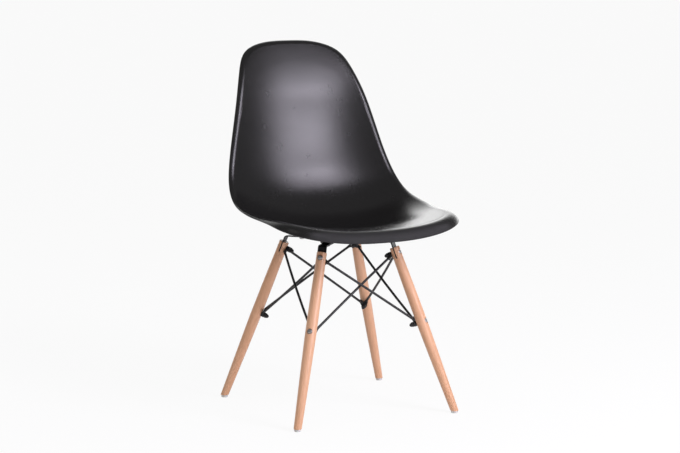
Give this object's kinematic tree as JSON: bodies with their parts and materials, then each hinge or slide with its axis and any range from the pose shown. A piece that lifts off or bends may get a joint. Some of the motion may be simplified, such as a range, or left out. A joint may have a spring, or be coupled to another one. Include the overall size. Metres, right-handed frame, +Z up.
{
  "type": "moulded plastic shell chair",
  "caption": "Side chair with a one-piece moulded plastic seat shell on splayed tapered wooden dowel legs with crossed wire bracing.",
  "frame": {"origin": "on the floor, under the middle of the whole chair's outline", "axes": "+Z up, +Y from the front edge of the seat towards the back, +X to the sitter's left"},
  "size_m": [0.457, 0.4991, 0.8229],
  "materials": {
    "shell_plastic": "satin, finely grained",
    "beech_wood": "clear satin lacquer",
    "black_metal": "satin black coating",
    "bright_steel": "bright zinc",
    "insert_brass": "plain turned",
    "glide_plastic": "milky, slightly worn"
  },
  "bodies": {
    "root": {"seat_shell": "shell_plastic", "threaded_inserts": "insert_brass", "shell_screws": "bright_steel", "shell_washers": "bright_steel", "diagonal_strap_upper": "black_metal", "diagonal_strap_joggled": "black_metal", "glide_nails": "bright_steel", "upper_leg_bolts": "bright_steel", "lower_leg_bolts": "bright_steel", "upper_leg_washers": "black_metal", "lower_leg_washers": "black_metal", "upper_cap_nuts": "black_metal", "lower_cap_nuts": "black_metal", "leg_front_right": "beech_wood", "glide_front_right": "glide_plastic", "leg_front_left": "beech_wood", "glide_front_left": "glide_plastic", "leg_rear_left": "beech_wood", "glide_rear_left": "glide_plastic", "leg_rear_right": "beech_wood", "glide_rear_right": "glide_plastic", "brace_right_outer": "black_metal", "brace_right_inner": "black_metal", "brace_front_outer": "black_metal", "brace_front_inner": "black_metal", "brace_left_outer": "black_metal", "brace_left_inner": "black_metal", "brace_rear_outer": "black_metal", "brace_rear_inner": "black_metal"}
  },
  "joints": []
}
